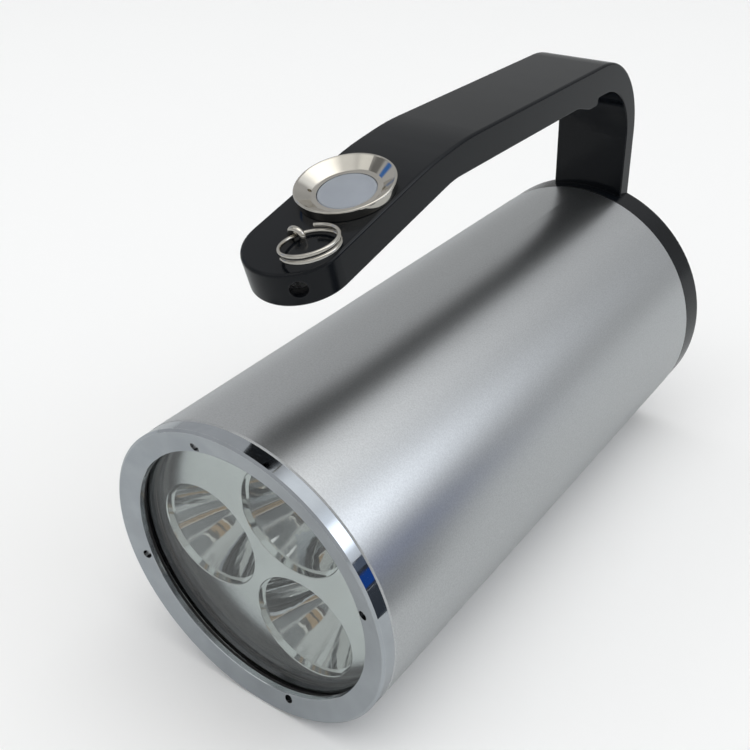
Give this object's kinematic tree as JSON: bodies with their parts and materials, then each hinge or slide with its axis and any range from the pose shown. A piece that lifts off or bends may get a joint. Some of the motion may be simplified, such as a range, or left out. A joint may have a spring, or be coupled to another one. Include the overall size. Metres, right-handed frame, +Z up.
{
  "type": "handheld searchlight",
  "caption": "Handheld searchlight: round metal barrel with a polished bezel and a three-cup reflector, a black grip handle above it with a ringed push button and a split ring.",
  "frame": {"origin": "under the middle of the barrel's length, at the height of the surface that the barrel lies on", "axes": "+Y runs along the barrel from the lens to the rear, +Z points up through the handle, +X is to the side"},
  "size_m": [0.085, 0.1816, 0.1305],
  "materials": {
    "bezel_chrome": "polished",
    "barrel_anodised": "bead-blasted, satin clear anodised",
    "black_anodised": "satin black anodised",
    "reflector_metal": "metallised, bright",
    "raw_aluminium": "machined",
    "lens_glass": "clear, polished",
    "seal_rubber": "matt",
    "foam_grey": "foam",
    "lead_insulation": "smooth",
    "button_silicone": "translucent, frosted",
    "led_silicone": "clear",
    "nickel_bright": "bright nickel plated",
    "screw_steel": "plain",
    "pin_brass": "plated",
    "black_plastic": "moulded",
    "board_plastic": "moulded",
    "ceramic_white": "ceramic",
    "phosphor_yellow": "phosphor coat",
    "board_white": "white solder mask",
    "board_green": "solder mask",
    "ferrite_grey": "ferrite",
    "capacitor_metal": "drawn can",
    "cell_wrap": "shrink wrap",
    "connector_white": "moulded"
  },
  "bodies": {
    "lamp": {"bezel_ring": "bezel_chrome", "front_o_ring": "seal_rubber", "front_gasket": "seal_rubber", "lens_glass": "lens_glass", "reflector_spacer": "black_plastic", "reflector": "reflector_metal", "led_rings": "board_plastic", "led_packages": "ceramic_white", "led_dies": "phosphor_yellow", "led_domes": "led_silicone", "led_board": "board_white", "heat_sink": "raw_aluminium", "led_board_screws": "screw_steel", "led_leads": "lead_insulation", "tie_rods": "screw_steel", "tie_rod_nuts": "screw_steel", "sleeves_driver": "black_plastic", "sleeves_front": "black_plastic", "sleeves_rear": "black_plastic", "driver_board": "board_green", "driver_inductor": "ferrite_grey", "driver_capacitors": "capacitor_metal", "driver_chips": "black_plastic", "battery_cells": "cell_wrap", "battery_frame_front": "black_plastic", "battery_frame_rear": "black_plastic", "nickel_strips": "nickel_bright", "battery_pad_front": "foam_grey", "battery_pad_rear": "foam_grey", "charge_board": "board_green", "charge_chips": "black_plastic", "battery_leads": "lead_insulation", "power_leads": "lead_insulation", "barrel": "barrel_anodised", "rear_cap": "black_anodised", "rear_o_ring": "seal_rubber", "charge_socket": "black_plastic", "socket_pin": "pin_brass", "socket_leads": "lead_insulation", "handle": "black_anodised", "end_screw": "screw_steel", "handle_screws": "screw_steel", "switch_lead": "lead_insulation", "switch_connector": "connector_white", "switch_ring": "nickel_bright", "switch_gasket": "seal_rubber", "switch_board": "board_green", "tact_switch": "black_plastic", "indicator_leds": "ceramic_white", "lanyard_staple": "nickel_bright"},
    "switch_button": {"switch_button": "button_silicone", "tact_actuator": "black_plastic"},
    "lanyard_ring": {"split_ring": "nickel_bright"},
    "charge_plug": {"charge_port_plug": "seal_rubber"}
  },
  "joints": [
    {"name": "switch_press", "type": "slide", "parent": "lamp", "child": "switch_button", "axis": [0, 0.2389, -0.971], "range_m": [0, 0.001], "stiffness_N_per_m": 1500, "springref_m": -0.0002},
    {"name": "ring_swing", "type": "hinge", "parent": "lamp", "child": "lanyard_ring", "pos_m": [0.00025, -0.06017, 0.12116], "axis": [-0.4044, -0.9009, -0.1578], "range_deg": [0, 90]},
    {"name": "charge_plug_pull", "type": "slide", "parent": "lamp", "child": "charge_plug", "axis": [0, 1, 0], "range_m": [0, 0.012]}
  ]
}
